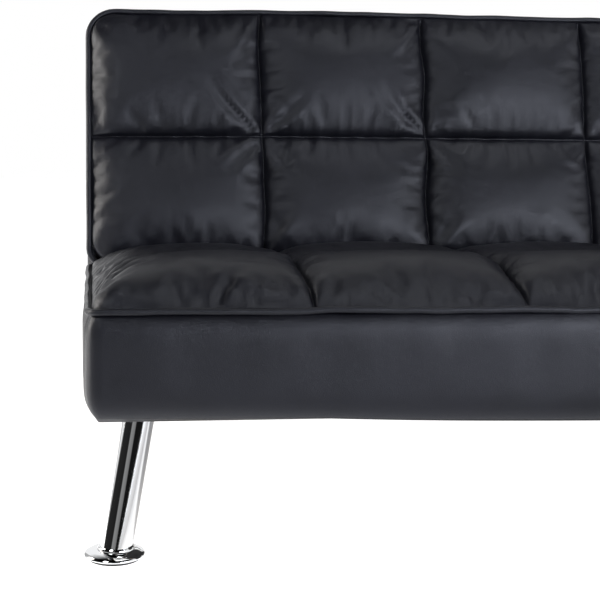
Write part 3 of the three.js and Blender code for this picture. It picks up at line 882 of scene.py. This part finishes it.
def makePiping(name, low, high, radius, spec, place, body, nodes):
    path = roundedPath(low, high, radius, spec["step"])
    normals = outwards(path, True)
    line = []
    for (x, y), (nx, ny) in zip(path, normals):
        up = spec["wave"] * (softNoise(x, y, spec["seed"], 0.10) + 0.4 * softNoise(x, y, 4.4, 0.035))
        out = 0.6 * spec["wave"] * softNoise(x, y, spec["seed"] + 7, 0.08)
        line.append((x + nx * out, y + ny * out, up))
    cord = tube(name, line, spec["radius"], spec["sides"], leather)
    if body == "back":
        droopEnds(cord)
    cord.data.transform(place)
    if nodes:
        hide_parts(*nodes)
    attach(cord, body)


makeSeatBorder()
pipingSpec = {"radius": 0.0048, "wave": 0.0032, "seed": 1.5, "step": 0.006, "sides": 12}
rearPipingSpec = dict(pipingSpec, radius=0.0032, wave=0.0006, seed=9.5)
makePiping(
    "seatPiping", (seatLeft - 0.002, seatFront - 0.002), (seatRight + 0.002, seatRear + 0.001),
    (0.020, 0.020), pipingSpec, Matrix.Translation((0, 0, seatLine)), "seat", ["seat_piping"],
)
makePiping(
    "backPiping", (seatLeft - 0.001, slabBottom - 0.001), (seatRight + 0.001, slabTop + 0.001),
    (0.030, 0.046), dict(pipingSpec, seed=6.5), slab @ Matrix.Translation((0, 0, slabFront)),
    "back", ["back_piping"],
)
makePiping(
    "backRearPiping", (seatLeft + 0.0105, slabBottom + 0.003), (seatRight - 0.0105, slabTop - 0.0105),
    (0.012, 0.036), rearPipingSpec, slab @ Matrix.Translation((0, 0, slabRear + 0.0015)),
    "back", [],
)

backBorderSpec = {
    "bulge": 0.004,
    "thick": 0.011,
    "steps": 24,  # from rear to front
    "step": 0.008,  # round the slab
    "corner": 0.046,
    "dent": 0.0025,
}


def backBorderShape(x, y, out, up):
    t = (up - slabRear) / (slabFront - slabRear)
    if out > -0.009:
        wave = softNoise(x, y, up * 0.6 + 5, 0.11)
        out = out + backBorderSpec["dent"] * wave * min(1.0, 4 * t * (1 - t) + 0.1)
    return out, up


def makeBackBorder():
    # runs up the left end, over the top and down the right end
    spec = backBorderSpec
    r = spec["corner"]
    line = [(seatRight, slabBottom)]
    line += arcPoints(seatRight - r, slabTop - r, r, 0, 8)
    line += arcPoints(seatLeft + r, slabTop - r, r, 90, 8)
    line.append((seatLeft, slabBottom))
    path = evenly(line, spec["step"])
    profile = bulgeProfile(slabRear, slabFront - 0.0015, spec["thick"], spec["bulge"], spec["steps"])
    border = band("backBorder", path, profile, leather, backBorderShape)
    droopEnds(border)
    border.data.transform(slab)
    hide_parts("back_top_panel", "back_left_panel", "back_right_panel")
    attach(border, "back")


makeBackBorder()


def panelPlace(origin, across, up):
    # a frame with x across, y up and z out of the panel
    out = Vector(across).cross(Vector(up))
    m = Matrix((across, up, out)).transposed().to_4x4()
    m.translation = origin
    return m


rearHalf = rearHigh.x
paddedPanel(
    "seatRearCover", (-rearHalf, seatBottom), (rearHalf, seatLine - 0.005), 0.010, 0.001,
    panelPlace((0, seatRear - 0.001, 0), (-1, 0, 0), (0, 0, 1)), "seat", ["seat_rear_panel"],
)
paddedPanel(
    "backRearCover", (seatLeft + 0.0115, slabBottom + 0.004), (seatRight - 0.0115, slabTop - 0.0115),
    0.010, 0.0, slab @ panelPlace((0, 0, slabRear + 0.0008), (-1, 0, 0), (0, 1, 0)),
    "back", ["back_rear_panel"],
)


foamSpec = {"cut": 0.010, "steps": 4, "seatInset": (0.004, 0.004, 0.003)}


def foamBlock(name, low, high, place, body, node):
    # bare foam inside the upholstery, its edges cut round
    corners = [(x, y, z) for z in (low[2], high[2]) for y in (low[1], high[1]) for x in (low[0], high[0])]
    sides = [(0, 2, 3, 1), (4, 5, 7, 6), (0, 1, 5, 4), (2, 6, 7, 3), (0, 4, 6, 2), (1, 3, 7, 5)]
    obj = meshObject(name, corners, sides, foam)
    bevel = obj.modifiers.new("rounding", "BEVEL")
    bevel.width = foamSpec["cut"]
    bevel.segments = foamSpec["steps"]
    applyModifiers(obj)
    if body == "back":
        droopEnds(obj)
    obj.data.transform(place)
    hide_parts(node)
    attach(obj, body)


foamLow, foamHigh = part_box("seat_foam")
foamInset = Vector(foamSpec["seatInset"])
foamBlock(
    "seatFoamBlock", foamLow + foamInset, foamHigh - foamInset, Matrix.Identity(4), "seat", "seat_foam",
)
foamBlock(
    "backFoamBlock", (seatLeft + 0.020, slabBottom + 0.008, -0.044),
    (seatRight - 0.020, slabTop - 0.020, 0.016), slab, "back", "back_foam",
)
paddedPanel(
    "backFootCover", (-0.864, -slabFront + 0.006), (0.864, -slabRear - 0.004), 0.003, 0.0008,
    slab @ panelPlace((0, slabBottom + 0.0006, 0), (1, 0, 0), (0, 0, -1)), "back", ["back_bottom_panel"],
)

dustSpec = {"sag": 0.004, "ripple": 0.00015, "rippleSize": 0.09, "thick": 0.0008, "clearEnds": 0.80}


def makeDustCloth():
    # black cloth stapled under the seat, hanging a little between the base arms and the centre leg
    low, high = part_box("seat_dust_cloth")
    level = (low.z + high.z) / 2
    across, along = 120, 36
    points = []
    for n in range(along + 1):
        for k in range(across + 1):
            x = low.x + (high.x - low.x) * k / across
            y = low.y + (high.y - low.y) * n / along
            hang = math.sin(math.pi * min(1.0, abs(x) / dustSpec["clearEnds"])) ** 2
            hang *= dustSpec["sag"] * math.sin(math.pi * n / along)
            wave = dustSpec["ripple"] * softNoise(x, y, 3.0, dustSpec["rippleSize"])
            points.append((x, y, level - hang + wave))
    sheet = meshObject("dustSheet", points, gridFaces(across + 1, along + 1), dustCloth)
    solid = sheet.modifiers.new("thickness", "SOLIDIFY")
    solid.thickness = dustSpec["thick"]
    solid.offset = 0
    applyModifiers(sheet)
    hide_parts("seat_dust_cloth")
    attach(sheet, "seat")


makeDustCloth()
print("borders, piping, foams and dust cloth made")


view = {
    "place": (-0.8932, -2.2125, 0.6226),
    "yaw": 7.656,
    "pitch": 8.311,
    "roll": 0.853,
    "lens": 79.31,
    "shift": 0.05,
}


def makeCamera():
    data = bpy.data.cameras.new("camera")
    camera = bpy.data.objects.new("camera", data)
    scene.collection.objects.link(camera)
    yaw, pitch, roll = (math.radians(view[k]) for k in ("yaw", "pitch", "roll"))
    ahead = Vector((math.sin(yaw), math.cos(yaw), 0))
    right = Vector((math.cos(yaw), -math.sin(yaw), 0))
    up = Vector((0, 0, 1))
    forward = math.cos(pitch) * ahead - math.sin(pitch) * up
    above = math.sin(pitch) * ahead + math.cos(pitch) * up
    across = math.cos(roll) * right + math.sin(roll) * above
    upright = -math.sin(roll) * right + math.cos(roll) * above
    turn = Matrix((across, upright, -forward)).transposed().to_4x4()
    turn.translation = view["place"]
    camera.matrix_world = turn
    data.lens = view["lens"]
    data.sensor_width = 36
    data.shift_x = view["shift"]
    scene.camera = camera


def softBox(name, place, aim, width, height, power, colour=(1, 1, 1)):
    data = bpy.data.lights.new(name, "AREA")
    data.shape = "RECTANGLE"
    data.size = width
    data.size_y = height
    data.energy = power
    data.color = colour
    light = bpy.data.objects.new(name, data)
    scene.collection.objects.link(light)
    light.location = place
    light.rotation_euler = (Vector(aim) - Vector(place)).to_track_quat("-Z", "Y").to_euler()


studio = {
    "ceiling": 0.04,  # what the leather reflects from above
    # grey cards round the dark room in front, from its left to its right
    "roomCards": [
        (0.18, 0.015), (0.22, 0.26), (0.40, 0.20), (0.44, 0.008), (0.84, 0.008), (0.89, 1.0),
    ],
    # and by the white wall behind, which draw the edges of the chrome
    "wallCards": [
        (0.11, 1.0), (0.13, 0.45), (0.28, 0.45), (0.30, 1.0),
        (0.70, 1.0), (0.72, 0.04), (0.88, 0.04), (0.90, 1.0),
    ],
    # the floor glows as painted light, dimmed well in front and well behind to set what the sofa mirrors
    "floorGlow": 0.85,
    "frontGlow": 0.06,  # share of it that the sofa mirrors from well in front
    "rearGlow": 0.20,  # and from well behind
}


def greyCards(tree, across, first, cards):
    # greys along a ramp, as cards standing side by side, white after the last
    ramp = tree.nodes.new("ShaderNodeValToRGB")
    ramp.color_ramp.interpolation = "EASE"
    ramp.color_ramp.elements[0].position = 0.0
    ramp.color_ramp.elements[1].position = 1.0
    for place, grey in cards:
        element = ramp.color_ramp.elements.new(place)
        element.color = (grey, grey, grey, 1)
    ramp.color_ramp.elements[0].color = (first, first, first, 1)
    ramp.color_ramp.elements[-1].color = (1, 1, 1, 1)
    tree.links.new(across, ramp.inputs["Fac"])
    return ramp.outputs["Color"]


def makeWorld():
    # what the sofa mirrors: a white wall behind it, a dark ceiling and a dark room in front
    world = bpy.data.worlds.new("studio")
    scene.world = world
    world.use_nodes = True
    tree = world.node_tree
    direction = tree.nodes.new("ShaderNodeTexCoord").outputs["Generated"]
    split = tree.nodes.new("ShaderNodeSeparateXYZ")
    tree.links.new(direction, split.inputs["Vector"])
    low = rangeNode(tree, split.outputs["Z"], 0.55, 0.90, 1.0, studio["ceiling"])
    across = rangeNode(tree, split.outputs["X"], -1.0, 1.0)
    room = greyCards(tree, across, 0.02, studio["roomCards"])
    wall = greyCards(tree, across, 1.0, studio["wallCards"])
    isBehind = rangeNode(tree, split.outputs["Y"], 0.10, 0.35)
    inFront = mathNode(tree, "SUBTRACT", 1.0, isBehind)
    inFront = mathNode(tree, "MULTIPLY", inFront, rangeNode(tree, split.outputs["Z"], 0.45, 0.65, 1.0, 0.0))
    seen = mathNode(tree, "MULTIPLY", inFront, room)
    seen = mathNode(tree, "ADD", mathNode(tree, "MULTIPLY", isBehind, wall), seen)
    seen = mathNode(tree, "MULTIPLY", seen, low)
    straight = tree.nodes.new("ShaderNodeLightPath").outputs["Is Camera Ray"]  # the room itself is white
    tree.links.new(mathNode(tree, "MAXIMUM", seen, straight), tree.nodes["Background"].inputs["Strength"])
    tree.nodes["Background"].inputs["Color"].default_value = (1, 1, 1, 1)


def makeFloor():
    # the floor glows as painted light in reflections and bounced light, with a painted shadow under the
    # sofa; seen straight on it is evenly white
    material, tree, shader = newMaterial("floorPaintAndGlow", "floor", (0.9, 0.9, 0.9), 0.9)
    shader.inputs["Emission Strength"].default_value = studio["floorGlow"]
    split = tree.nodes.new("ShaderNodeSeparateXYZ")
    tree.links.new(objectPlace(tree), split.inputs["Vector"])
    glow = rangeNode(tree, split.outputs["Y"], -0.70, -0.42, studio["frontGlow"], 1.0)
    rear = rangeNode(tree, split.outputs["Y"], 0.8, 1.4, 1.0, studio["rearGlow"])
    glow = mathNode(tree, "MULTIPLY", glow, rear)
    # painted shadow: the floor's glow is dimmed under the sofa, where the sofa would keep the light off it
    shade = rangeNode(tree, split.outputs["X"], -0.86, -0.80)
    shade = mathNode(tree, "MULTIPLY", shade, rangeNode(tree, split.outputs["X"], 0.80, 0.86, 1.0, 0.0))
    shade = mathNode(tree, "MULTIPLY", shade, rangeNode(tree, split.outputs["Y"], -0.42, -0.36))
    shade = mathNode(tree, "MULTIPLY", shade, rangeNode(tree, split.outputs["Y"], 0.25, 0.40, 0.9, 0.0))
    glow = mathNode(tree, "MULTIPLY", glow, mathNode(tree, "SUBTRACT", 1.0, shade))
    straight = tree.nodes.new("ShaderNodeLightPath").outputs["Is Camera Ray"]  # the floor itself is white
    glow = mathNode(tree, "MAXIMUM", glow, straight)
    tree.links.new(colourMix(tree, glow, (0.0, 0.0, 0.0), (1.0, 1.0, 1.0)), shader.inputs["Emission Color"])
    floor = meshObject(
        "floor", [(-14, -8, 0), (14, -8, 0), (14, 9, 0), (-14, 9, 0)], [(0, 1, 2, 3)], material, False
    )


makeCamera()
makeFloor()
makeWorld()
softBox("keyLight", (-2.6, -2.6, 2.6), (-0.5, 0, 0.4), 1.0, 1.0, 22)
softBox("frontLight", (1.6, -3.4, 1.2), (-0.2, 0, 0.5), 2.4, 1.0, 75, (0.94, 0.95, 1.0))
softBox("topLight", (0.4, -0.9, 3.4), (-0.2, -0.1, 0.4), 2.6, 1.0, 20)
softBox("leftLight", (-3.2, 0.4, 1.2), (-0.9, -0.1, 0.4), 0.8, 1.6, 45, (1.0, 0.94, 0.85))
scene.view_settings.view_transform = "Standard"
print("scene ready")
